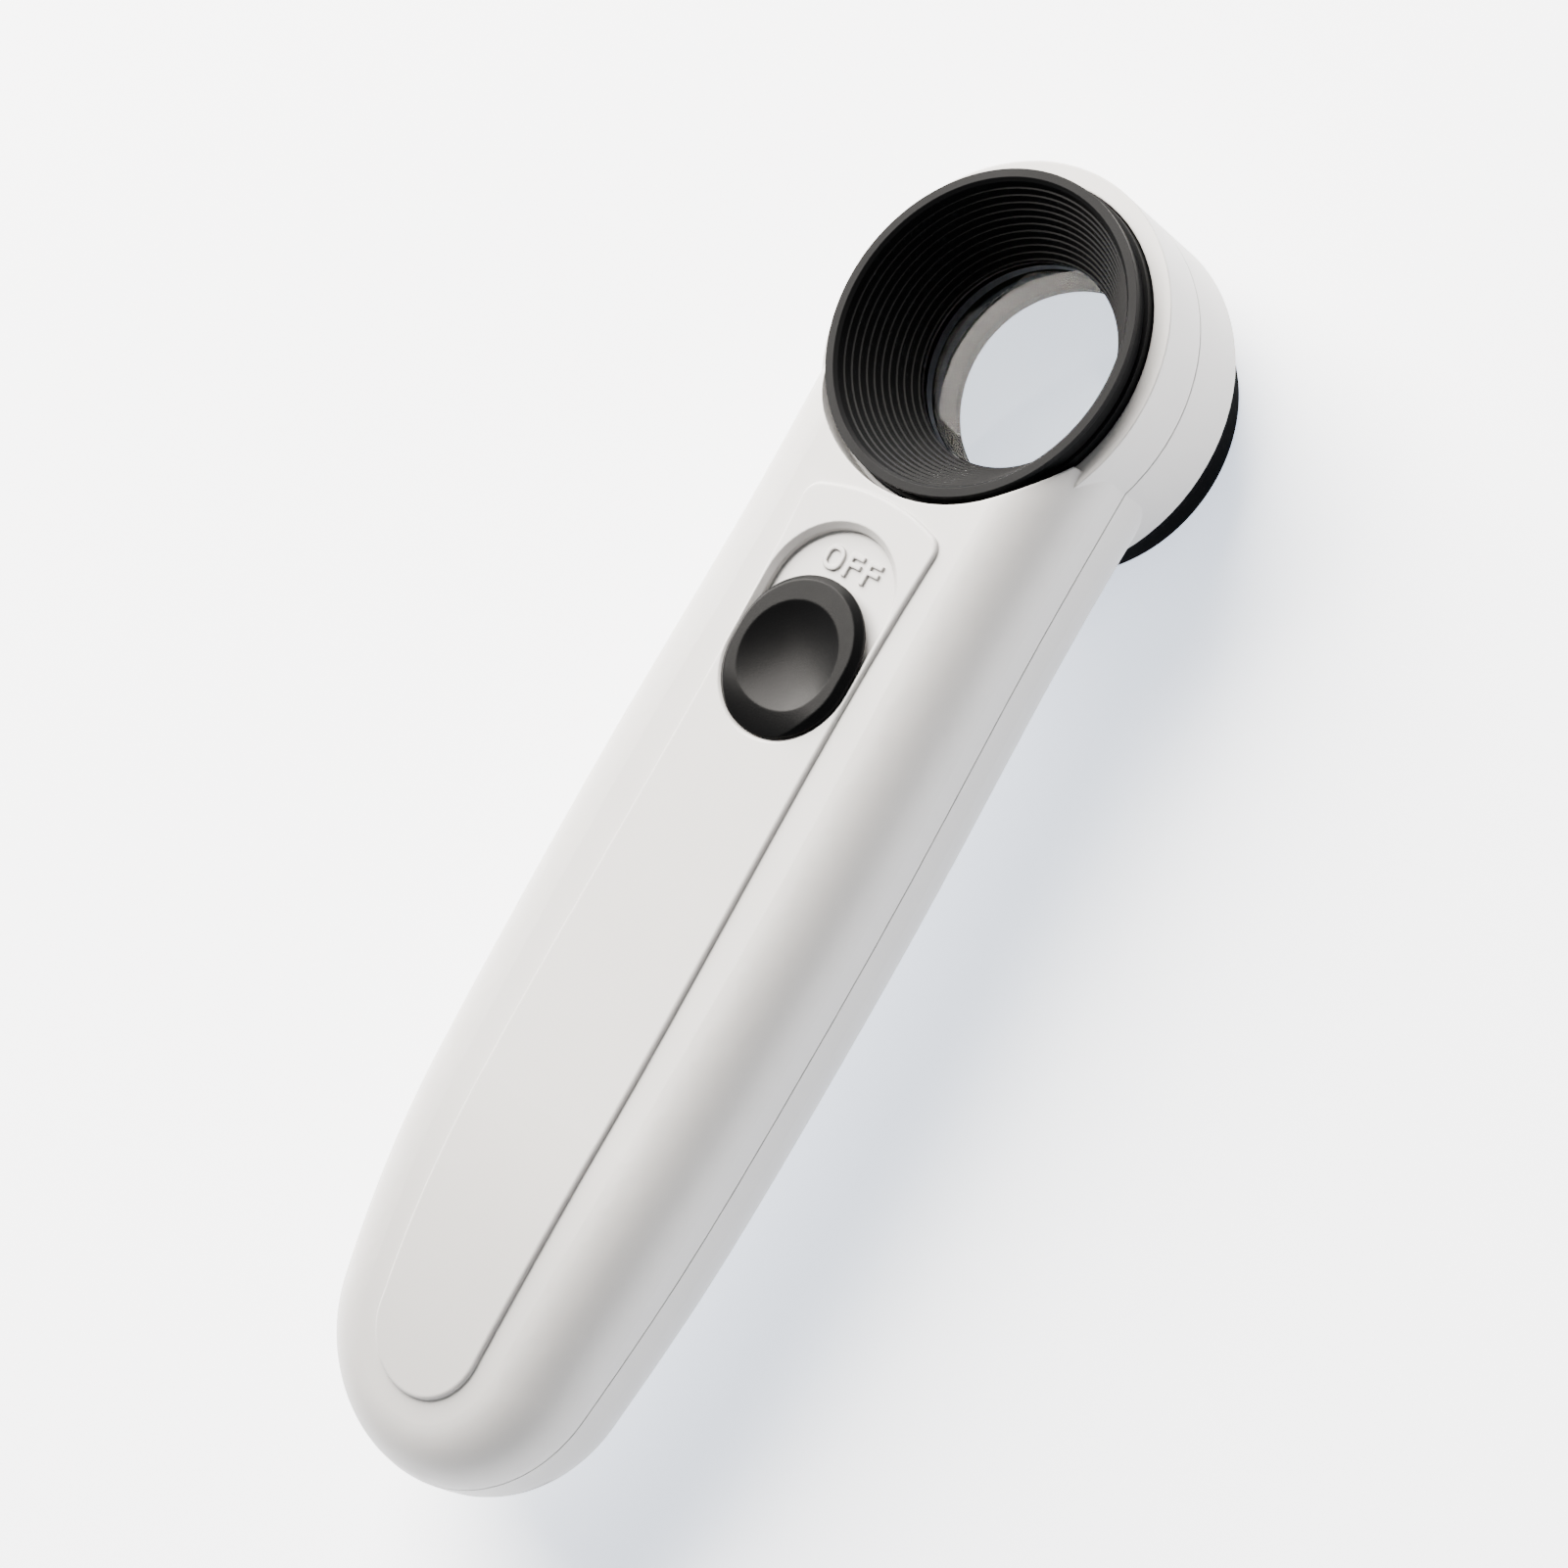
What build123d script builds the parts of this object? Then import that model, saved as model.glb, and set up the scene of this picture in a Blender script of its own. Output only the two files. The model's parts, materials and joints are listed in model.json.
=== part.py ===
from build123d import *
import math
import os

# Handheld illuminated magnifier: a round optical head on a battery handle.
#
# Frame: +Z along the optical axis towards the eye, +X from the handle to the crown of the head,
# origin on the optical axis in the plane of the focus ring's rim. All sizes are in millimetres.

# ---- optical stack (radii grow outwards from the lens) ----
lens_radius = 10.5
lens_curve_radius = 60.0
lens_edge = 1.6
lens_step = 0.6
lens_gap = 0.05
aperture_radius = 9.4
aperture_gap = 0.1
holder_wall = 1.15
sleeve_gap = 0.3
sleeve_wall = 1.6
thread_gap = 0.1
head_wall = 2.8

# ---- batteries (two AAA cells side by side) ----
battery_radius = 5.25
battery_length = 44.5
battery_nub_radius = 1.9
battery_nub_height = 0.8
battery_gap = 0.5
battery_lift = 0.1
cradle_gap = 0.2

# ---- handle ----
overall_length = 123.0
wall = 1.7
handle_back_z = 5.2
headroom = 2.2
neck_half_width = 15.2
handle_half_width = 15.7
tail_radius = 13.7
tail_shoulder = 7.0
front_edge_radius = 5.7
back_edge_radius = 5.6
droop_start = 32.5
droop_radius = 120.0
seam_gap = 0.1
parting_z = 13.4
rib_thickness = 1.2
rib_offsets = (10.0, 24.0, 37.0)
raised_step_x = -6.6

# ---- raised front panel ----
panel_raise = 0.4
panel_round = 0.3
panel_top_x = -15.9
panel_corner_x = -17.4
panel_corner_round = 1.6
panel_half_width = 7.6
panel_taper = (0.35, 0.75, 1.65)
panel_tail_margin = 6.4

# ---- sliding switch button and its pocket ----
pocket_depth = 1.0
pocket_bevel = 0.5
pocket_gap = 0.35
button_x = -31.1
button_half_width = 6.45
button_half_length = 7.2
button_travel = 4.8
button_flange_inset = 0.65
button_flange_z = 0.2
button_rise = 0.7
button_top_inset = 0.6
button_slope_start = 3.2
button_tail_lip = 0.1
dish_radius = 4.95
dish_depth = 1.05
dish_shift = 0.2
stem_length = 3.0
stem_width = 3.6
slide_gap = 0.2
letter_height = 2.2
letter_stroke = 0.42
letter_relief = 0.22
off_text_x = -22.1
on_text_x = -35.9

# ---- head, eyepiece and focus ring ----
head_back_z = 6.3
head_front_z = 18.9
head_edge = 0.3
ring_relief = 2.0
aperture_z = 14.4
aperture_lip = 0.8
ridge_count = 11
ridge_tread = 0.45
eyepiece_overlap = 1.1
eyepiece_gap = 0.15
eyepiece_rim = 0.75
eyepiece_proud = 0.1
eyepiece_neck = 0.35
ledge_height = 0.8
ledge_gap = 0.05
cutout_gap = 0.5
flange_reach = 0.8
flange_height = 1.6
flange_gap = 0.1
skirt_bore = 13.2
skirt_top_z = 16.3
rim_height = 2.9
rim_edge = 0.2
mouth_depth = 3.2
mouth_step = 0.2
knurl_top_z = 5.4
knurl_rise = 0.8
knurl_count = 72
knurl_width = 0.5
knurl_depth = 0.35
sleeve_top_z = 9.6
oring_z = 8.2
oring_section = 0.35
oring_gap = 0.05

# ---- lens stack fittings, LEDs and wires ----
spacer_height = 1.2
retainer_height = 1.3
retainer_bore = 9.4
retainer_notch = 1.5
led_board_bore = 8.8
led_board_gap = 0.1
led_inset = 0.2
led_size = (2.0, 2.2, 0.7)
led_lens_radius = 0.75
led_lens_height = 0.3
wire_radius = 0.35
wire_y = 0.8
wire_inset = 0.4
wire_z = 11.4
wire_end_x = -25.0
wire_bend = 1.2
wire_gap = 0.1
gate_half_width = 2.5

# ---- switch board, contacts and screws ----
board_thickness = 1.0
board_z = 15.0
board_span = (-39.8, -19.6)
board_half_width = 8.0
foot_size = (8.0, 7.0, 1.2)
foot_gap = 0.2
brush_y = 2.5
brush_width = 1.0
pad_height = 0.3
pad_gap = 0.05
resistor_size = (3.2, 1.6, 0.6)
sheet_metal = 0.4
contact_reach = 1.7
contact_gap = 0.05
contact_half_width = 4.0
contact_low_z = 8.6
tab_half_width = 1.2
tab_overlap = 0.9
pip_radius = 1.6
stake_radius = 1.1
stake_pin_radius = 0.5
stake_y = 6.0
stake_inset = 2.2
screw_radius = 1.0
screw_head_radius = 1.9
screw_head_height = 1.3
screw_seat_z = 8.6
screw_tip_z = 18.2
boss_radius = 3.0
boss_wall = 1.2
pilot_gap = 0.05
fit_gap = 0.2

# ---- battery cover ----
cover_x = -47.6
cover_top_z = 9.5
cover_side_gap = 0.25
cover_gap = 0.2
rail_reach = 0.9
rail_z = 6.1
rail_height = 0.5
rail_gap = 0.1
rail_span = (-88.0, -49.6)
grip_groove = 0.35
grip_pitch = 1.8
grip_count = 5
grip_x = -53.0
grip_half_width = 6.0

# ---- values that follow from the sizes above ----
holder_bore = lens_radius + lens_gap
holder_outer = holder_bore + holder_wall
ring_bore = holder_outer + sleeve_gap
sleeve_outer = ring_bore + sleeve_wall
head_bore = sleeve_outer + thread_gap
head_radius = head_bore + head_wall
tail_x = head_radius - overall_length

battery_y = battery_radius + battery_gap / 2
battery_z = handle_back_z + wall + battery_lift + battery_radius
handle_front_z = battery_z + battery_radius + headroom + wall
ceiling_z = handle_front_z - wall
panel_z = handle_front_z + panel_raise
droop_x = tail_x + droop_start
shell_floor = parting_z + seam_gap / 2
shell_top = parting_z - seam_gap / 2

eyepiece_outer = head_bore + eyepiece_overlap
eyepiece_bore = eyepiece_outer + eyepiece_gap
eyepiece_top_z = handle_front_z + eyepiece_proud
eyepiece_rim_outer = eyepiece_outer - eyepiece_gap
cutout_radius = eyepiece_outer + cutout_gap
flange_radius = eyepiece_outer + flange_reach
flange_low_z = parting_z - flange_height / 2
flange_high_z = parting_z + flange_height / 2
lens_seat_z = aperture_z - aperture_lip
cavity_front = head_radius - 0.1

upper_lens_z = lens_seat_z - lens_edge
spacer_z = upper_lens_z - spacer_height
lower_lens_z = spacer_z - lens_edge
retainer_z = lower_lens_z - retainer_height
cap_radius = aperture_radius - aperture_gap

rim_outer = sleeve_outer + mouth_step
knurl_radius = sleeve_outer + knurl_rise
mouth_radius = ring_bore + mouth_step
led_board_z = knurl_top_z - led_size[2] - aperture_gap
holder_bottom_z = led_board_z + board_thickness
led_y = lens_radius - led_inset
wire_x = wire_inset - holder_outer

pocket_z = panel_z - pocket_depth
pocket_half_width = button_half_width + pocket_gap - pocket_bevel
pocket_tail_x = button_x - button_half_length - pocket_gap + pocket_bevel
pocket_head_x = button_x + button_half_length + button_travel + pocket_gap - pocket_bevel
button_flange_low = panel_z - button_flange_z
button_top_z = panel_z + button_rise
foot_z = ceiling_z - foot_gap - foot_size[2]
board_top_z = board_z + board_thickness
pad_z = board_top_z + pad_height

cover_half_width = battery_y + battery_radius + cover_side_gap
end_wall_x = cover_x + fit_gap * 2
end_wall = boss_wall
battery_head_x = end_wall_x - sheet_metal - contact_reach
battery_tail_x = battery_head_x - battery_length
bridge_x = battery_tail_x - contact_reach
tail_wall_x = bridge_x - sheet_metal
screw_spots = [(-21.5, 10.6), (-21.5, -10.6), (-42.6, 0)]
stake_columns = (board_span[0] + stake_inset, board_span[1] - stake_inset)
stake_spots = [(x, y) for x in stake_columns for y in (stake_y, -stake_y)]

os.makedirs("parts", exist_ok=True)


def save(part, name):
    """Label a finished piece and write it as its own STEP file."""
    part.label = name
    export_step(part, f"parts/{name}.step")


def tube(outer, inner, low, high):
    """A plain ring about the optical axis."""
    with BuildPart() as ring:
        with BuildSketch(Plane.XY.offset(low)):
            Circle(outer)
            Circle(inner, mode=Mode.SUBTRACT)
        extrude(amount=high - low)
    return ring.part


def disc(radius, low, high):
    """A solid cylinder about the optical axis."""
    with BuildPart() as cylinder:
        with BuildSketch(Plane.XY.offset(low)):
            Circle(radius)
        extrude(amount=high - low)
    return cylinder.part


def block(low, high):
    """A box between two opposite corners."""
    size = [b - a for a, b in zip(low, high)]
    with BuildPart() as box:
        with Locations(tuple((a + b) / 2 for a, b in zip(low, high))):
            Box(*size)
    return box.part


def rod(radius, start, end):
    """A round bar from one point to another."""
    direction = Vector(*end) - Vector(*start)
    with BuildPart() as bar:
        with BuildSketch(Plane(origin=start, z_dir=direction)):
            Circle(radius)
        extrude(amount=direction.length)
    return bar.part


def slot_prism(half_width, low_x, high_x, low_z, high_z):
    """A prism with a round-ended outline that runs along the handle."""
    with BuildPart() as prism:
        with BuildSketch(Plane.XY.offset(low_z)):
            with Locations(((low_x + high_x) / 2, 0)):
                SlotOverall(high_x - low_x, 2 * half_width)
        extrude(amount=high_z - low_z)
    return prism.part


def handle_outline(inset):
    """Plan outline of the handle: gently bellied sides and a round tail."""
    shoulder = math.radians(tail_shoulder)
    arc_centre_x = tail_x + tail_radius
    side_end = (arc_centre_x - tail_radius * math.sin(shoulder), tail_radius * math.cos(shoulder) - inset)
    with BuildSketch() as plan:
        with BuildLine():
            side = Spline(
                (0, neck_half_width + 0.2 - inset),
                (-20, neck_half_width - inset),
                (-42, handle_half_width - inset),
                (droop_x + 9, handle_half_width - 0.1 - inset),
                (droop_x - 6, handle_half_width - 0.65 - inset),
                side_end,
                tangents=[(-1, 0), (-math.cos(shoulder), -math.sin(shoulder))],
            )
            ThreePointArc(side_end, (tail_x + inset, 0), (side_end[0], -side_end[1]))
            mirror(side, about=Plane.XZ)
            Line((0, neck_half_width + 0.2 - inset), (0, inset - neck_half_width - 0.2))
        make_face()
    return plan.sketch


def handle_body(inset, lift=0.0):
    """Solid of the whole handle, shrunk by inset; lift raises its front face."""
    top = handle_front_z + lift - inset
    bottom = handle_back_z + inset
    radius = droop_radius + lift - inset
    plan = handle_outline(inset)
    sag = [(d, radius - math.sqrt(radius**2 - d**2)) for d in (17, 34)]
    arc_points = [(droop_x - d, top - s) for d, s in sag]
    with BuildPart() as body:
        with BuildSketch(Plane.XY.offset(bottom)):
            add(plan)
        extrude(amount=top - bottom)
        with BuildSketch(Plane.XZ):
            with BuildLine():
                ThreePointArc((droop_x, top), *arc_points)
                Polyline(arc_points[1], (arc_points[1][0], top + 5), (droop_x, top + 5), (droop_x, top))
            make_face()
        extrude(amount=2 * handle_half_width, both=True, mode=Mode.SUBTRACT)
        rims = body.edges().filter_by(Axis.Y, reverse=True).filter_by(Axis.Z, reverse=True)
        fillet(rims.filter_by(lambda edge: edge.center().Z > parting_z + 2), front_edge_radius - inset)
        rims = body.edges().filter_by(Axis.Y, reverse=True).filter_by(Axis.Z, reverse=True)
        fillet(rims.filter_by(lambda edge: abs(edge.center().Z - bottom) < 0.01), back_edge_radius - inset)
    return body.part


def battery_bores(radius):
    """Two long cylinders on the battery axes."""
    with BuildPart() as bores:
        for side in (1, -1):
            with BuildSketch(Plane(origin=(0, side * battery_y, battery_z), z_dir=(-1, 0, 0))):
                Circle(radius)
            extrude(amount=overall_length)
    return bores.part


outer_body = handle_body(0)
inner_body = handle_body(wall)
rib_body = handle_body(wall / 2)
free_body = handle_body(wall + fit_gap)
cavity = inner_body - disc(cavity_front, 0, 2 * handle_front_z)
far = overall_length + 10
side = 2 * handle_half_width
roof = 2 * handle_front_z

# ---- front shell: eyepiece ring, raised panel, switch pocket and battery cradles ----
with BuildPart() as panel:
    panel_tail_x = tail_x + panel_tail_margin
    end_half_width = panel_half_width - panel_taper[2]
    end_centre_x = panel_tail_x + end_half_width
    with BuildSketch(Plane.XY.offset(parting_z)):
        with BuildLine():
            edge = Spline(
                (panel_corner_x, panel_half_width),
                (droop_x + 9, panel_half_width - panel_taper[0]),
                (droop_x - 9, panel_half_width - panel_taper[1]),
                (end_centre_x, end_half_width),
            )
            mirror(edge, about=Plane.XZ)
            ThreePointArc(edge @ 1, (panel_tail_x, 0), (end_centre_x, -end_half_width))
            ThreePointArc(edge @ 0, (panel_top_x, 0), (panel_corner_x, -panel_half_width))
        make_face()
        fillet(vertices().group_by(Axis.X)[-1], panel_corner_round)
    extrude(amount=handle_front_z)
    add(handle_body(0, panel_raise), mode=Mode.INTERSECT)
    tops = edges().filter_by(GeomType.LINE, reverse=True)
    fillet(tops.filter_by(lambda edge: edge.center().Z > parting_z + 1), panel_round)


def letter(shape, start):
    """Outline of one block letter; start is its left edge."""
    height = letter_height
    stroke = letter_stroke
    width = height * (0.9 if shape in "ON" else 0.68)
    with BuildSketch() as glyph:
        with Locations((start + width / 2, 0)):
            if shape == "O":
                RectangleRounded(width, height, width * 0.45)
                RectangleRounded(width - 2 * stroke, height - 2 * stroke, width * 0.22, mode=Mode.SUBTRACT)
        if shape in "FN":
            with Locations((start + stroke / 2, 0)):
                Rectangle(stroke, height)
        if shape == "F":
            for level in (height / 2 - stroke / 2, stroke / 4):
                with Locations((start + width / 2, level)):
                    Rectangle(width, stroke)
        if shape == "N":
            with Locations((start + width - stroke / 2, 0)):
                Rectangle(stroke, height)
            with BuildLine():
                Polyline(
                    (start, height / 2),
                    (start + stroke * 1.2, height / 2),
                    (start + width, -height / 2),
                    (start + width - stroke * 1.2, -height / 2),
                    (start, height / 2),
                )
            make_face()
    return glyph.sketch


def word(text, starts, x):
    """Raised lettering on the pocket floor, read across the handle."""
    with BuildPart() as relief:
        floor = Plane(origin=(x, 0, pocket_z - letter_relief), x_dir=(0, -1, 0), z_dir=(0, 0, 1))
        with BuildSketch(floor):
            for shape, start in zip(text, starts):
                add(letter(shape, start))
        extrude(amount=2 * letter_relief)
    return relief.part


def cradle(x):
    """A rib across the front shell that holds both cells from above."""
    half = rib_thickness / 2
    rib = block((x - half, -side, parting_z + fit_gap), (x + half, side, roof))
    return (rib & rib_body) - battery_bores(battery_radius + cradle_gap)


with BuildPart() as funnel:
    funnel_span = (pocket_tail_x - pocket_bevel, pocket_head_x + pocket_bevel)
    add(slot_prism(pocket_half_width + pocket_bevel, *funnel_span, panel_z - pocket_bevel, roof))
    chamfer(edges().group_by(Axis.Z)[0], pocket_bevel)

tongue_x = tail_x + wall + fit_gap + rib_thickness
tongue = block((-far, -4, parting_z - 1.8), (tongue_x, 4, shell_floor + 2)) & free_body
tongue_root = block((-far, -4, shell_floor + 0.5), (tongue_x, 4, shell_floor + 2)) & rib_body
tail_wall = block((tail_wall_x - end_wall, -9, cover_top_z + fit_gap), (tail_wall_x, 9, roof)) & rib_body
boss_top = ceiling_z + wall / 4
with BuildPart() as front_shell:
    add(outer_body)
    add(block((raised_step_x, -side, head_front_z), (head_radius, side, roof)), mode=Mode.SUBTRACT)
    add(disc(head_radius, shell_floor, head_front_z))
    add(panel.part)
    add(cavity, mode=Mode.SUBTRACT)
    add(disc(cutout_radius, head_front_z, roof), mode=Mode.SUBTRACT)
    add(block((-far, -side, 0), (far, side, shell_floor)), mode=Mode.SUBTRACT)
    for offset in rib_offsets:
        add(cradle(battery_head_x - offset))
    add(tail_wall)
    add(tongue_root)
    add(tongue)
    for x, y in screw_spots:
        with Locations((x, y, (shell_floor + boss_top) / 2)):
            Cylinder(screw_radius + boss_wall, boss_top - shell_floor)
    for x, y in stake_spots:
        with Locations((x, y, (board_top_z + boss_top) / 2)):
            Cylinder(stake_radius, boss_top - board_top_z)
        with Locations((x, y, board_top_z - board_thickness / 2)):
            Cylinder(stake_pin_radius, 2 * board_thickness)
    add(slot_prism(pocket_half_width, pocket_tail_x, pocket_head_x, pocket_z, roof), mode=Mode.SUBTRACT)
    add(funnel.part, mode=Mode.SUBTRACT)
    add(word("OFF", (-2.9, -0.45, 1.6), off_text_x))
    add(word("ON", (-2.2, 0.3), on_text_x))
    slot_low = (button_x - stem_length / 2 - slide_gap, -stem_width / 2 - slide_gap, ceiling_z - wall)
    slot_end = button_x + stem_length / 2 + button_travel + slide_gap
    slot_high = (slot_end, stem_width / 2 + slide_gap, panel_z)
    add(block(slot_low, slot_high), mode=Mode.SUBTRACT)
    add(disc(eyepiece_bore, 0, roof), mode=Mode.SUBTRACT)
    add(disc(flange_radius + flange_gap, 0, flange_high_z + flange_gap), mode=Mode.SUBTRACT)
    for x, y in screw_spots:
        pilot = rod(screw_radius + pilot_gap, (x, y, shell_floor - 1), (x, y, screw_tip_z + fit_gap))
        add(pilot, mode=Mode.SUBTRACT)
save(front_shell.part, "front_shell")

# ---- rear shell: threaded head bore, battery bay, screw towers ----
groove_low = rail_z - rail_gap
groove_high = rail_z + rail_height + rail_gap
bay_half_width = cover_half_width + cover_gap
with BuildPart() as rear_shell:
    add(outer_body)
    add(disc(head_radius + ring_relief, 0, head_back_z), mode=Mode.SUBTRACT)
    add(block((-far, -side, shell_top), (far, side, roof)), mode=Mode.SUBTRACT)
    add(disc(head_radius, head_back_z, shell_top))
    add(cavity, mode=Mode.SUBTRACT)
    for x, y in screw_spots:
        add(rod(boss_radius, (x, y, 0), (x, y, shell_top)) & rib_body)
    end_top = board_top_z - contact_gap
    end_half = battery_y + contact_half_width
    end_low = (end_wall_x, -end_half, handle_back_z + wall / 2)
    add(block(end_low, (end_wall_x + end_wall, end_half, end_top)))
    bay_high = (cover_x + cover_gap, bay_half_width, cover_top_z + cover_gap)
    add(block((-far, -bay_half_width, 0), bay_high), mode=Mode.SUBTRACT)
    reach = cover_half_width + rail_reach + rail_gap
    groove_end = (rail_span[1] + cover_gap, reach, groove_high)
    add(block((-far, -reach, groove_low), groove_end), mode=Mode.SUBTRACT)
    add(disc(head_bore, 0, roof), mode=Mode.SUBTRACT)
    add(disc(flange_radius + flange_gap, flange_low_z - flange_gap, roof), mode=Mode.SUBTRACT)
    gate_low = (-head_radius - wall, -gate_half_width, sleeve_top_z + fit_gap)
    add(block(gate_low, (-head_bore + 1, gate_half_width, roof)), mode=Mode.SUBTRACT)
    for x, y in screw_spots:
        add(rod(screw_head_radius + fit_gap, (x, y, 0), (x, y, screw_seat_z)), mode=Mode.SUBTRACT)
        add(rod(screw_radius + fit_gap, (x, y, 0), (x, y, roof)), mode=Mode.SUBTRACT)
    arcs = edges().filter_by(GeomType.CIRCLE)
    arcs = arcs.filter_by(lambda edge: abs(edge.radius - head_radius) < 0.01)
    chamfer(arcs.filter_by(lambda edge: abs(edge.center().Z - head_back_z) < 0.01), head_edge)
save(rear_shell.part, "rear_shell")

# ---- battery cover: slides towards the tail on two rails ----
with BuildPart() as battery_cover:
    add(outer_body - inner_body)
    add(block((-far, -cover_half_width, 0), (cover_x, cover_half_width, cover_top_z)), mode=Mode.INTERSECT)
    for sign in (1, -1):
        inner_y = sign * (cover_half_width - 0.5)
        outer_y = sign * (cover_half_width + rail_reach)
        low_y, high_y = sorted((inner_y, outer_y))
        add(block((rail_span[0], low_y, rail_z), (rail_span[1], high_y, rail_z + rail_height)))
    for index in range(grip_count):
        x = grip_x - index * grip_pitch
        low = (x - grip_pitch / 4, -grip_half_width, 0)
        high = (x + grip_pitch / 4, grip_half_width, handle_back_z + grip_groove)
        add(block(low, high), mode=Mode.SUBTRACT)
save(battery_cover.part, "battery_cover")

# ---- eyepiece with stepped anti-glare cone and lens holder ----
cone_top_z = eyepiece_top_z - 0.3
cone_top_radius = eyepiece_rim_outer - eyepiece_rim - 0.3
ridge_run = (cone_top_radius - aperture_radius) / ridge_count
ridge_rise = (cone_top_z - aperture_z) / ridge_count
cone = [(aperture_radius, aperture_z)]
for index in range(ridge_count):
    cone.append((aperture_radius + (index + ridge_tread) * ridge_run, aperture_z + index * ridge_rise))
    cone.append((aperture_radius + (index + 1) * ridge_run, aperture_z + (index + 1) * ridge_rise))
ledge_z = head_front_z + ledge_height
with BuildPart() as eyepiece:
    with BuildSketch(Plane.XZ):
        with BuildLine():
            Polyline(
                *cone,
                (cone_top_radius + 0.3, eyepiece_top_z),
                (eyepiece_rim_outer, eyepiece_top_z),
                (eyepiece_rim_outer, eyepiece_top_z - 0.5),
                (eyepiece_rim_outer - 0.2, eyepiece_top_z - 0.7),
                (eyepiece_outer - eyepiece_neck, ledge_z),
                (eyepiece_outer, ledge_z),
                (eyepiece_outer, head_front_z),
                (eyepiece_outer - ledge_gap, head_front_z),
                (eyepiece_outer - ledge_gap, flange_high_z),
                (flange_radius, flange_high_z),
                (flange_radius, flange_low_z),
                (skirt_bore, flange_low_z),
                (skirt_bore, skirt_top_z),
                (holder_outer, skirt_top_z),
                (holder_outer, holder_bottom_z),
                (holder_bore, holder_bottom_z),
                (holder_bore, lens_seat_z),
                (aperture_radius, lens_seat_z),
                cone[0],
            )
        make_face()
    revolve(axis=Axis.Z)
    wire_room = (wire_x + wire_radius + wire_gap, wire_y + wire_radius + wire_gap)
    low = (-holder_outer - 1, -wire_room[1], 0)
    add(block(low, (wire_room[0], wire_room[1], wire_z + 2 * wire_radius)), mode=Mode.SUBTRACT)
save(eyepiece.part, "eyepiece")


def lens(flat_z, shoulder_z, direction):
    """Plano-convex lens: flat side first, then the edge, a short step and the dome."""
    step_z = shoulder_z + direction * lens_step
    depth = lens_curve_radius - math.sqrt(lens_curve_radius**2 - cap_radius**2)
    half = cap_radius / 2
    half_depth = lens_curve_radius - math.sqrt(lens_curve_radius**2 - half**2)
    vertex_z = step_z + direction * depth
    with BuildPart() as glass:
        with BuildSketch(Plane.XZ):
            with BuildLine():
                Polyline(
                    (0, vertex_z),
                    (0, flat_z),
                    (lens_radius, flat_z),
                    (lens_radius, shoulder_z),
                    (cap_radius, shoulder_z),
                    (cap_radius, step_z),
                )
                middle = (half, vertex_z - direction * half_depth)
                ThreePointArc((cap_radius, step_z), middle, (0, vertex_z))
            make_face()
        revolve(axis=Axis.Z)
    return glass.part


save(lens(upper_lens_z, lens_seat_z, 1), "upper_lens")
save(tube(lens_radius, aperture_radius, spacer_z, upper_lens_z), "lens_spacer")
save(lens(spacer_z, lower_lens_z, -1), "lower_lens")

with BuildPart() as retaining_ring:
    add(tube(lens_radius, retainer_bore, retainer_z, lower_lens_z))
    notch = retainer_notch / 2
    notch_low = (-lens_radius, -notch, retainer_z)
    add(block(notch_low, (lens_radius, notch, retainer_z + notch)), mode=Mode.SUBTRACT)
save(retaining_ring.part, "lens_retaining_ring")

# ---- focus ring: smooth rim, fine knurl and the sleeve that screws into the head ----
oring_centre = head_bore - oring_gap - oring_section
with BuildPart() as focus_ring:
    with BuildSketch(Plane.XZ):
        with BuildLine():
            Polyline(
                (mouth_radius, 0),
                (rim_outer - rim_edge, 0),
                (rim_outer, rim_edge),
                (rim_outer, rim_height),
                (sleeve_outer, rim_height),
                (sleeve_outer, sleeve_top_z),
                (ring_bore, sleeve_top_z),
                (ring_bore, mouth_depth),
                (mouth_radius, mouth_depth),
                (mouth_radius, 0),
            )
        make_face()
    revolve(axis=Axis.Z)
    with BuildSketch(Plane.XY.offset(rim_height)):
        Circle(knurl_radius)
        Circle(ring_bore + mouth_step, mode=Mode.SUBTRACT)
        with PolarLocations(knurl_radius, knurl_count):
            Rectangle(2 * knurl_depth, knurl_width, mode=Mode.SUBTRACT)
    extrude(amount=knurl_top_z - rim_height)
    groove_bottom = oring_centre - oring_section - oring_gap / 2
    half = oring_section + oring_gap
    add(tube(head_bore, groove_bottom, oring_z - half, oring_z + half), mode=Mode.SUBTRACT)
save(focus_ring.part, "focus_ring")

with BuildPart() as focus_oring:
    with BuildSketch(Plane.XZ):
        with Locations((oring_centre, oring_z)):
            Circle(oring_section)
    revolve(axis=Axis.Z)
save(focus_oring.part, "focus_oring")

# ---- LEDs on their ring board ----
save(tube(holder_outer - led_board_gap, led_board_bore, led_board_z, holder_bottom_z), "led_board")
for sign, name in ((1, "led_left"), (-1, "led_right")):
    with BuildPart() as led:
        with Locations((0, sign * led_y, led_board_z - led_size[2] / 2)):
            Box(*led_size)
        with Locations((0, sign * led_y, led_board_z - led_size[2] - led_lens_height / 2)):
            Cylinder(led_lens_radius, led_lens_height)
    save(led.part, name)

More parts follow.
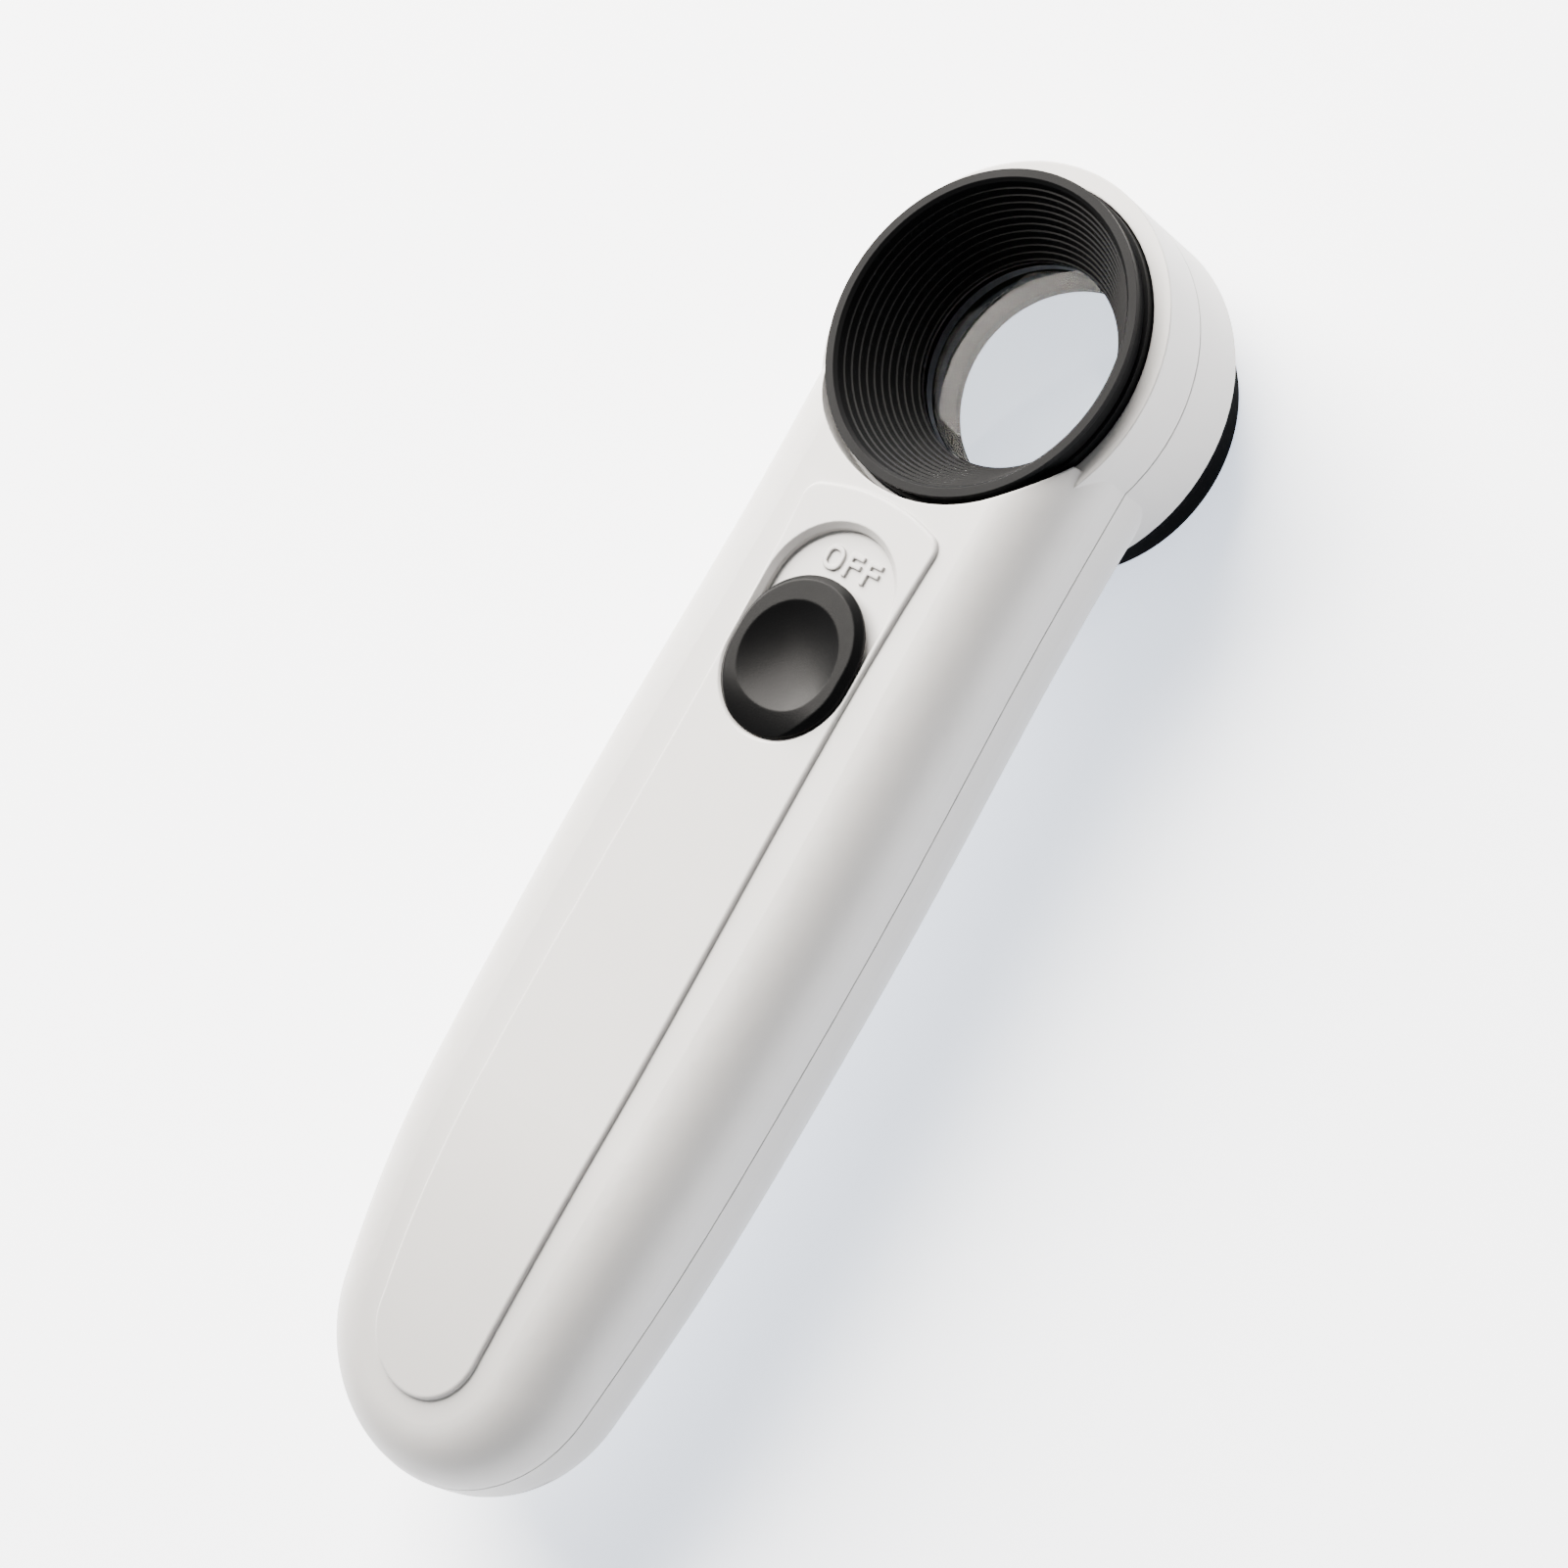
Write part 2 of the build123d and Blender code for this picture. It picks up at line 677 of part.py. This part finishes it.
# ---- switch: button with stem, slider foot, brush, board and pads ----
with BuildPart() as switch_button:
    skirt = button_half_length - button_flange_inset
    skirt_low_z = pocket_z + letter_relief + contact_gap
    skirt_half_width = button_half_width - button_flange_inset
    add(slot_prism(skirt_half_width, button_x - skirt, button_x + skirt, skirt_low_z, button_flange_low))
    tail_end = button_x - button_half_length
    head_end = button_x + button_half_length
    add(slot_prism(button_half_width, tail_end, head_end, button_flange_low, button_top_z))
    rims = edges().filter_by(lambda edge: abs(edge.center().Z - button_top_z) < 0.01)
    chamfer(rims, button_top_inset)
    with BuildSketch(Plane.XZ):
        with BuildLine():
            slope_x = button_x - button_slope_start
            tail_low = (tail_end, button_flange_low + button_tail_lip)
            TangentArc((slope_x, button_top_z), tail_low, tangent=(-1, 0))
            Polyline(tail_low, (tail_end, button_top_z), (slope_x, button_top_z))
        make_face()
    extrude(amount=side, both=True, mode=Mode.SUBTRACT)
    dish_sphere = (dish_radius**2 + dish_depth**2) / (2 * dish_depth)
    with Locations((button_x - dish_shift, 0, button_top_z - dish_depth + dish_sphere)):
        Sphere(dish_sphere, mode=Mode.SUBTRACT)
    stem_low = (button_x - stem_length / 2, -stem_width / 2, foot_z)
    add(block(stem_low, (button_x + stem_length / 2, stem_width / 2, skirt_low_z + 0.1)))
save(switch_button.part, "switch_button")

with BuildPart() as switch_slider:
    with Locations((button_x, 0, foot_z + foot_size[2] / 2)):
        Box(*foot_size)
        Box(stem_length + pad_gap * 2, stem_width + pad_gap * 2, foot_size[2], mode=Mode.SUBTRACT)
save(switch_slider.part, "switch_slider")

with BuildPart() as slide_contact:
    brush_low = foot_z - sheet_metal
    half = foot_size[0] / 2 - 1
    brush_reach = brush_y + brush_width / 2
    add(block((button_x - half, -brush_reach, brush_low), (button_x + half, brush_reach, foot_z)))
    for sign in (1, -1):
        with BuildSketch(Plane.XZ.offset(-sign * brush_y)):
            with BuildLine():
                Polyline(
                    (button_x - half, brush_low),
                    (button_x - sheet_metal, pad_z + pad_gap),
                    (button_x + sheet_metal, pad_z + pad_gap),
                    (button_x + half, brush_low),
                    (button_x + half - 2 * sheet_metal, brush_low),
                    (button_x, pad_z + pad_gap + sheet_metal),
                    (button_x - half + 2 * sheet_metal, brush_low),
                    (button_x - half, brush_low),
                )
            make_face()
        extrude(amount=brush_width / 2, both=True)
save(slide_contact.part, "slide_contact")

with BuildPart() as switch_board:
    add(block((board_span[0], -board_half_width, board_z), (board_span[1], board_half_width, board_top_z)))
    for x, y in stake_spots:
        with Locations((x, y, board_z + board_thickness / 2)):
            Hole(stake_pin_radius + pad_gap)
save(switch_board.part, "switch_board")

with BuildPart() as switch_pads:
    reach = foot_size[0] / 2
    travel_end = button_x + button_travel
    pads = [(brush_y, button_x - reach, travel_end + reach), (-brush_y, button_x - reach, button_x + 1)]
    pads.append((-brush_y, travel_end - 1, travel_end + reach))
    for y, start, end in pads:
        add(block((start, y - brush_width, board_top_z), (end, y + brush_width, pad_z)))
save(switch_pads.part, "switch_pads")

with BuildPart() as resistor:
    with Locations((button_x, stake_y, board_z - resistor_size[2] / 2)):
        Box(*resistor_size)
save(resistor.part, "resistor")

# ---- batteries ----
for sign, name in ((1, "battery_left"), (-1, "battery_right")):
    body_head = battery_head_x - (battery_nub_height if sign > 0 else 0)
    body_tail = battery_tail_x + (battery_nub_height if sign < 0 else 0)
    nub_end = battery_head_x if sign > 0 else battery_tail_x
    with BuildPart() as battery:
        y = sign * battery_y
        add(rod(battery_radius, (body_tail, y, battery_z), (body_head, y, battery_z)))
        fillet(edges().filter_by(GeomType.CIRCLE), battery_gap)
        nub_root = body_head - battery_gap if sign > 0 else body_tail + battery_gap
        add(rod(battery_nub_radius, (nub_root, y, battery_z), (nub_end, y, battery_z)))
    save(battery.part, name)


def leaf(plate_x, tip_x, y):
    """Sprung V of sheet metal between a contact plate and a cell's flat end."""
    lean = sheet_metal if tip_x > plate_x else -sheet_metal
    high = battery_z + contact_half_width - 1
    low = battery_z - contact_half_width + 1
    with BuildPart() as spring:
        with BuildSketch(Plane.XZ.offset(-y)):
            with BuildLine():
                Polyline(
                    (plate_x, high),
                    (tip_x, battery_z),
                    (plate_x, low),
                    (plate_x, low + 3 * sheet_metal),
                    (tip_x - 2 * lean, battery_z),
                    (plate_x, high - 3 * sheet_metal),
                    (plate_x, high),
                )
            make_face()
        extrude(amount=pip_radius, both=True)
    return spring.part


head_plate_x = end_wall_x - sheet_metal
for sign, name in ((1, "positive_contact"), (-1, "negative_contact")):
    y = sign * battery_y
    with BuildPart() as contact:
        plate_low = (head_plate_x, y - contact_half_width, contact_low_z)
        add(block(plate_low, (end_wall_x, y + contact_half_width, board_top_z + sheet_metal)))
        tab_low = (head_plate_x, y - tab_half_width, board_top_z)
        tab_high = (board_span[0] + tab_overlap, y + tab_half_width, board_top_z + sheet_metal)
        add(block(tab_low, tab_high))
        if sign > 0:
            pip_end = (battery_head_x + contact_gap, y, battery_z)
            add(rod(pip_radius, (head_plate_x, y, battery_z), pip_end))
        else:
            add(leaf(head_plate_x, battery_head_x + contact_gap, y))
    save(contact.part, name)

with BuildPart() as bridge_contact:
    plate_half = battery_y + contact_half_width - 1
    add(block((tail_wall_x, -plate_half, contact_low_z), (bridge_x, plate_half, board_top_z)))
    pip_end = (battery_tail_x - contact_gap, -battery_y, battery_z)
    add(rod(pip_radius, (bridge_x, -battery_y, battery_z), pip_end))
    add(leaf(bridge_x, battery_tail_x - contact_gap, battery_y))
save(bridge_contact.part, "bridge_contact")

# ---- LED wires, whole from the ring board to the switch board ----
for sign, name in ((1, "red_wire"), (-1, "black_wire")):
    y = sign * wire_y
    with BuildPart() as wire:
        with BuildLine() as route:
            FilletPolyline(
                (wire_x, y, holder_bottom_z),
                (wire_x, y, wire_z),
                (wire_end_x, y, wire_z),
                (wire_end_x, y, board_z),
                radius=wire_bend,
            )
        with BuildSketch(Plane(origin=route.line @ 0, z_dir=route.line % 0)):
            Circle(wire_radius)
        sweep()
    save(wire.part, name)

# ---- three screws from the back ----
with BuildPart() as shell_screws:
    for x, y in screw_spots:
        add(rod(screw_radius, (x, y, screw_seat_z - screw_head_height), (x, y, screw_tip_z)))
        add(rod(screw_head_radius, (x, y, screw_seat_z - screw_head_height), (x, y, screw_seat_z)))
        slot_z = screw_seat_z - screw_head_height
        for length, width in ((2.2, 0.5), (0.5, 2.2)):
            with Locations((x, y, slot_z)):
                Box(length, width, screw_head_height, mode=Mode.SUBTRACT)
save(shell_screws.part, "shell_screws")
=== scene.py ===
import json
import math

import bpy
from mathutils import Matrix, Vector


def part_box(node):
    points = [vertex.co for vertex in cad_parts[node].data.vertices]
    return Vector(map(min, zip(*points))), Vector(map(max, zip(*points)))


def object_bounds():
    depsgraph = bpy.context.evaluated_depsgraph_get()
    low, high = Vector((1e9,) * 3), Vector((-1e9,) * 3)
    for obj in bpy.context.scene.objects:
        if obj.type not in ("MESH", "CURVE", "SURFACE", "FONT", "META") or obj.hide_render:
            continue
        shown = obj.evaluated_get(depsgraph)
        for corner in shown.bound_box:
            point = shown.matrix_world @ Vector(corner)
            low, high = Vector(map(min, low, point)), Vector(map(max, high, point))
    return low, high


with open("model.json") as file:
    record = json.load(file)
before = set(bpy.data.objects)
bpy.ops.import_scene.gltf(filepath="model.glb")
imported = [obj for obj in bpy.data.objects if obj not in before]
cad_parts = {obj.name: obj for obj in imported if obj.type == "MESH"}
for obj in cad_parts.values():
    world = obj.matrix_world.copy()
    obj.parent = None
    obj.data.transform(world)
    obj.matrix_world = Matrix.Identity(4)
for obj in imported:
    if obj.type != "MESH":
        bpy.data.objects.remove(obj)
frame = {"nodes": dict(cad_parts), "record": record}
nodes = frame["nodes"]
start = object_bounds()

MM = 0.001

# ---------------------------------------------------------------- studio and camera values
FLOOR_SIZE = 30.0
FLOOR_GAP = 0.2 * MM
FLOOR_GLOW = (0.86, 0.96, 1.14, 1.0)
FLOOR_GLOW_STRENGTH = 1.4
WORLD_COLOUR = (0.97, 0.98, 1.0, 1.0)
WORLD_STRENGTH = 0.35
KEY_PLACE = (0.50, 0.66, 0.58)
KEY_AIM = (-0.045, 0, 0.01)
KEY_SIZE = 1.2
KEY_POWER = 150.0
KEY_COLOUR = (1.0, 0.955, 0.90)
CAMERA_PLACE = (-0.04746, -0.23238, 0.33389)
CAMERA_TURN = (20.403, 30.336, -55.342)
CAMERA_LENS = 107.98
CAMERA_SENSOR = 36.0
CAMERA_NEAR = 0.01
CAMERA_FAR = 50.0

# ---------------------------------------------------------------- material values
EDGE_SAMPLES = 6
EDGE_FLAT = 0.985
EDGE_SHARP = 0.80
GRAIN_STRENGTH = 0.5
BRUSHED_STRETCH = (0.04, 1, 1)
LENS_IOR = 1.49
LENS_RIM_SLOPE = 0.5
CELL_NUB = 0.8 * MM
CELL_BAND = 12.7 * MM
CELL_BLUR = 0.1 * MM


# ---------------------------------------------------------------- shader building blocks
def new_material(name):
    """A material with an empty node tree and its output."""
    material = bpy.data.materials.new(name)
    material.use_nodes = True
    tree = material.node_tree
    tree.nodes.clear()
    output = tree.nodes.new("ShaderNodeOutputMaterial")
    return material, tree, output


def principled(tree, output):
    """The main shader, joined to the material's output."""
    shader = tree.nodes.new("ShaderNodeBsdfPrincipled")
    tree.links.new(shader.outputs["BSDF"], output.inputs["Surface"])
    return shader


def noise(tree, scale, detail=3.0, stretch=(1, 1, 1)):
    """Noise in the piece's own coordinates; scale is in cycles per millimetre."""
    where = tree.nodes.new("ShaderNodeTexCoord")
    mapping = tree.nodes.new("ShaderNodeMapping")
    mapping.inputs["Scale"].default_value = stretch
    field = tree.nodes.new("ShaderNodeTexNoise")
    field.inputs["Scale"].default_value = scale / MM
    field.inputs["Detail"].default_value = detail
    tree.links.new(where.outputs["Object"], mapping.inputs["Vector"])
    tree.links.new(mapping.outputs["Vector"], field.inputs["Vector"])
    return field.outputs["Fac"]


def remap(tree, value, low, high, to_low, to_high):
    """Linear map of a value, held at its ends."""
    node = tree.nodes.new("ShaderNodeMapRange")
    node.inputs["From Min"].default_value = low
    node.inputs["From Max"].default_value = high
    node.inputs["To Min"].default_value = to_low
    node.inputs["To Max"].default_value = to_high
    tree.links.new(value, node.inputs["Value"])
    return node.outputs["Result"]


def edge_mask(tree, radius):
    """1 on edges and 0 on faces, from a rounded normal against the true one, and that normal."""
    bevel = tree.nodes.new("ShaderNodeBevel")
    bevel.samples = EDGE_SAMPLES
    bevel.inputs["Radius"].default_value = radius
    geometry = tree.nodes.new("ShaderNodeNewGeometry")
    dot = tree.nodes.new("ShaderNodeVectorMath")
    dot.operation = "DOT_PRODUCT"
    tree.links.new(bevel.outputs["Normal"], dot.inputs[0])
    tree.links.new(geometry.outputs["Normal"], dot.inputs[1])
    mask = remap(tree, dot.outputs["Value"], EDGE_FLAT, EDGE_SHARP, 0.0, 1.0)
    return mask, bevel.outputs["Normal"]


def mix_colour(tree, factor, first, second):
    """Blend between two colours, each a plain tuple or another node's output."""
    node = tree.nodes.new("ShaderNodeMix")
    node.data_type = "RGBA"
    for socket, colour in (("A", first), ("B", second)):
        pins = [pin for pin in node.inputs if pin.name == socket and pin.type == "RGBA"]
        if isinstance(colour, tuple):
            pins[0].default_value = (*colour, 1.0)
        else:
            tree.links.new(colour, pins[0])
    tree.links.new(factor, node.inputs[0])
    return [pin for pin in node.outputs if pin.type == "RGBA"][0]


def product(tree, first, second):
    """Two values multiplied."""
    node = tree.nodes.new("ShaderNodeMath")
    node.operation = "MULTIPLY"
    tree.links.new(first, node.inputs[0])
    tree.links.new(second, node.inputs[1])
    return node.outputs["Value"]


def surface(name, colour, roughness, grain, worn=None, metallic=0.0, coat=0.0, blotch=0.03,
            bevel=0.0, specular=0.5, brushed=False, subsurface=0.0):
    """A lived-in solid: soft edges, faint blotches, a fine moulded or brushed grain, worn edges."""
    material, tree, output = new_material(name)
    shader = principled(tree, output)
    shader.inputs["Metallic"].default_value = metallic
    shader.inputs["Coat Weight"].default_value = coat
    shader.inputs["Coat Roughness"].default_value = 0.2
    shader.inputs["Specular IOR Level"].default_value = specular
    if subsurface:
        shader.inputs["Subsurface Weight"].default_value = subsurface
        shader.inputs["Subsurface Radius"].default_value = (1.2 * MM, 1.1 * MM, 1.0 * MM)
        shader.inputs["Subsurface Scale"].default_value = 0.6
    cloud = remap(tree, noise(tree, 0.08), 0.35, 0.65, 0.0, 1.0)
    deep = tuple(part * (1 - blotch) for part in colour)
    tint = mix_colour(tree, cloud, deep, colour)
    spread = 0.03
    smear = remap(tree, noise(tree, 0.22, 5.0), 0.3, 0.7, roughness - spread, roughness + spread)
    normal = None
    if bevel:
        mask, normal = edge_mask(tree, bevel)
        if worn:
            rub = remap(tree, noise(tree, 1.3, 4.0), 0.42, 0.62, 0.0, 1.0)
            tint = mix_colour(tree, product(tree, mask, rub), tint, worn)
    scale, depth = grain
    bump = tree.nodes.new("ShaderNodeBump")
    bump.inputs["Strength"].default_value = GRAIN_STRENGTH
    bump.inputs["Distance"].default_value = depth
    stretch = BRUSHED_STRETCH if brushed else (1, 1, 1)
    tree.links.new(noise(tree, scale, 2.0, stretch), bump.inputs["Height"])
    if normal:
        tree.links.new(normal, bump.inputs["Normal"])
    tree.links.new(bump.outputs["Normal"], shader.inputs["Normal"])
    tree.links.new(tint, shader.inputs["Base Color"])
    tree.links.new(smear, shader.inputs["Roughness"])
    return material


def glass(name, colour, haze, reflection):
    """Coated optical plastic with a faint handling haze; reflection is a share of bare plastic's."""
    material, tree, output = new_material(name)
    shader = principled(tree, output)
    shader.inputs["Base Color"].default_value = (*colour, 1.0)
    shader.inputs["Transmission Weight"].default_value = 1.0
    shader.inputs["IOR"].default_value = LENS_IOR
    shader.inputs["Specular Tint"].default_value = (reflection, reflection, reflection, 1.0)
    smear = remap(tree, noise(tree, 0.3, 6.0), 0.55, 0.8, 0.0, haze)
    tree.links.new(smear, shader.inputs["Roughness"])
    return material


def cell_film(name):
    """Printed film on a cell: a plain dark sleeve with a lighter band, bare metal at its head."""
    material, tree, output = new_material(name)
    shader = principled(tree, output)
    where = tree.nodes.new("ShaderNodeTexCoord")
    split = tree.nodes.new("ShaderNodeSeparateXYZ")
    tree.links.new(where.outputs["Object"], split.inputs["Vector"])
    head_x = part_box("battery_left")[1].x
    band_x = head_x - CELL_BAND
    cap_x = head_x - CELL_NUB
    along = split.outputs["X"]
    band = remap(tree, along, band_x - CELL_BLUR, band_x + CELL_BLUR, 0.0, 1.0)
    tint = mix_colour(tree, band, (0.05, 0.06, 0.07), (0.30, 0.33, 0.36))
    cap = remap(tree, along, cap_x - CELL_BLUR / 2, cap_x + CELL_BLUR / 2, 0.0, 1.0)
    tint = mix_colour(tree, cap, tint, (0.62, 0.61, 0.58))
    tree.links.new(tint, shader.inputs["Base Color"])
    tree.links.new(cap, shader.inputs["Metallic"])
    smear = remap(tree, noise(tree, 0.4, 5.0), 0.3, 0.7, 0.22, 0.34)
    tree.links.new(smear, shader.inputs["Roughness"])
    return material


# ---------------------------------------------------------------- materials, by the record's slot
looks = {
    "white_shell": surface(
        "white_satin", (0.46, 0.452, 0.443), 0.42, (9.0, 0.012 * MM), bevel=0.25 * MM,
        blotch=0.012, worn=(0.42, 0.41, 0.40), subsurface=0.08),
    "black_plastic": surface(
        "eyepiece_black", (0.0070, 0.0072, 0.0076), 0.42, (7.0, 0.010 * MM), bevel=0.06 * MM,
        blotch=0.25, worn=(0.012, 0.012, 0.012), specular=0.035),
    "ring_plastic": surface(
        "ring_black", (0.0022, 0.0022, 0.0023), 0.5, (8.0, 0.012 * MM), bevel=0.08 * MM,
        blotch=0.2, worn=(0.006, 0.006, 0.006), specular=0.01),
    "button_plastic": surface(
        "button_black", (0.0026, 0.0027, 0.0029), 0.38, (8.0, 0.020 * MM), bevel=0.25 * MM,
        blotch=0.2, worn=(0.008, 0.008, 0.008), specular=0.055),
    "slider_plastic": surface("slider_natural", (0.68, 0.66, 0.60), 0.5, (6.0, 0.01 * MM)),
    "lens_glass": glass("lens_clear", (0.985, 0.99, 0.985), 0.02, 0.02),
    "seal_rubber": surface(
        "seal_rubber", (0.02, 0.02, 0.02), 0.7, (5.0, 0.01 * MM), blotch=0.3),
    "circuit_board": surface(
        "board_green", (0.02, 0.16, 0.07), 0.35, (3.0, 0.01 * MM), coat=0.3, bevel=0.05 * MM,
        worn=(0.35, 0.30, 0.16), blotch=0.3),
    "board_black": surface(
        "board_black", (0.004, 0.004, 0.004), 0.7, (3.0, 0.01 * MM), specular=0.02),
    "led_body": surface(
        "led_phosphor", (0.70, 0.58, 0.22), 0.25, (6.0, 0.006 * MM), blotch=0.1),
    "resistor_body": surface("resistor_black", (0.03, 0.03, 0.035), 0.5, (6.0, 0.01 * MM)),
    "spring_metal": surface(
        "nickel_spring", (0.62, 0.60, 0.56), 0.28, (5.0, 0.004 * MM), metallic=1.0,
        brushed=True, bevel=0.05 * MM, worn=(0.75, 0.74, 0.70)),
    "copper_pad": surface(
        "tinned_copper", (0.72, 0.46, 0.22), 0.32, (5.0, 0.004 * MM), metallic=1.0),
    "red_insulation": surface(
        "red_pvc", (0.55, 0.02, 0.02), 0.35, (4.0, 0.006 * MM), blotch=0.15),
    "black_insulation": surface(
        "black_pvc", (0.02, 0.02, 0.02), 0.35, (4.0, 0.006 * MM), blotch=0.3),
    "screw_steel": surface(
        "zinc_steel", (0.60, 0.60, 0.60), 0.30, (6.0, 0.006 * MM), metallic=1.0,
        bevel=0.08 * MM, worn=(0.8, 0.8, 0.8), brushed=True),
    "cell_can": cell_film("cell_film"),
}
for part in frame["record"]["subparts"]:
    mesh = nodes[part["node"]].data
    mesh.materials.clear()
    mesh.materials.append(looks[part["material_slot"]])
    for face in mesh.polygons:
        face.material_index = 0

# The lenses' cylindrical edges are ground and blackened; their polished faces stay clear.
lens_rim = surface(
    "lens_ground_edge", (0.03, 0.03, 0.032), 0.8, (12.0, 0.01 * MM), specular=0.05)
for name in ("upper_lens", "lower_lens"):
    mesh = nodes[name].data
    mesh.materials.append(lens_rim)
    for face in mesh.polygons:
        if abs(face.normal.z) < LENS_RIM_SLOPE:
            face.material_index = 1

# ---------------------------------------------------------------- floor
stage_material, stage_tree, stage_output = new_material("studio_floor")
stage_shader = principled(stage_tree, stage_output)
paper = remap(stage_tree, noise(stage_tree, 0.01), 0.3, 0.7, 0.0, 1.0)
paper = mix_colour(stage_tree, paper, (0.86, 0.86, 0.86), (0.87, 0.87, 0.87))
stage_tree.links.new(paper, stage_shader.inputs["Base Color"])
stage_shader.inputs["Roughness"].default_value = 0.9
stage_shader.inputs["Emission Color"].default_value = FLOOR_GLOW
stage_shader.inputs["Emission Strength"].default_value = FLOOR_GLOW_STRENGTH
stage_shader.inputs["Specular IOR Level"].default_value = 0.1
bpy.ops.mesh.primitive_plane_add(size=FLOOR_SIZE, location=(0, 0, start[0][2] - FLOOR_GAP))
floor = bpy.context.object
floor.name = "floor"
floor.data.materials.append(stage_material)

# ---------------------------------------------------------------- light
world = bpy.data.worlds.new("studio")
world.use_nodes = True
bpy.context.scene.world = world
background = world.node_tree.nodes["Background"]
background.inputs["Color"].default_value = WORLD_COLOUR
background.inputs["Strength"].default_value = WORLD_STRENGTH

key = bpy.data.lights.new("key", "AREA")
key.shape = "SQUARE"
key.size = KEY_SIZE
key.energy = KEY_POWER
key.color = KEY_COLOUR
holder = bpy.data.objects.new("key", key)
bpy.context.scene.collection.objects.link(holder)
holder.location = KEY_PLACE
holder.rotation_euler = (Vector(KEY_AIM) - Vector(KEY_PLACE)).to_track_quat("-Z", "Y").to_euler()

# ---------------------------------------------------------------- camera
camera_data = bpy.data.cameras.new("camera")
camera_data.lens = CAMERA_LENS
camera_data.sensor_width = CAMERA_SENSOR
camera_data.clip_start = CAMERA_NEAR
camera_data.clip_end = CAMERA_FAR
camera = bpy.data.objects.new("camera", camera_data)
bpy.context.scene.collection.objects.link(camera)
camera.location = CAMERA_PLACE
camera.rotation_euler = [math.radians(angle) for angle in CAMERA_TURN]
bpy.context.scene.camera = camera
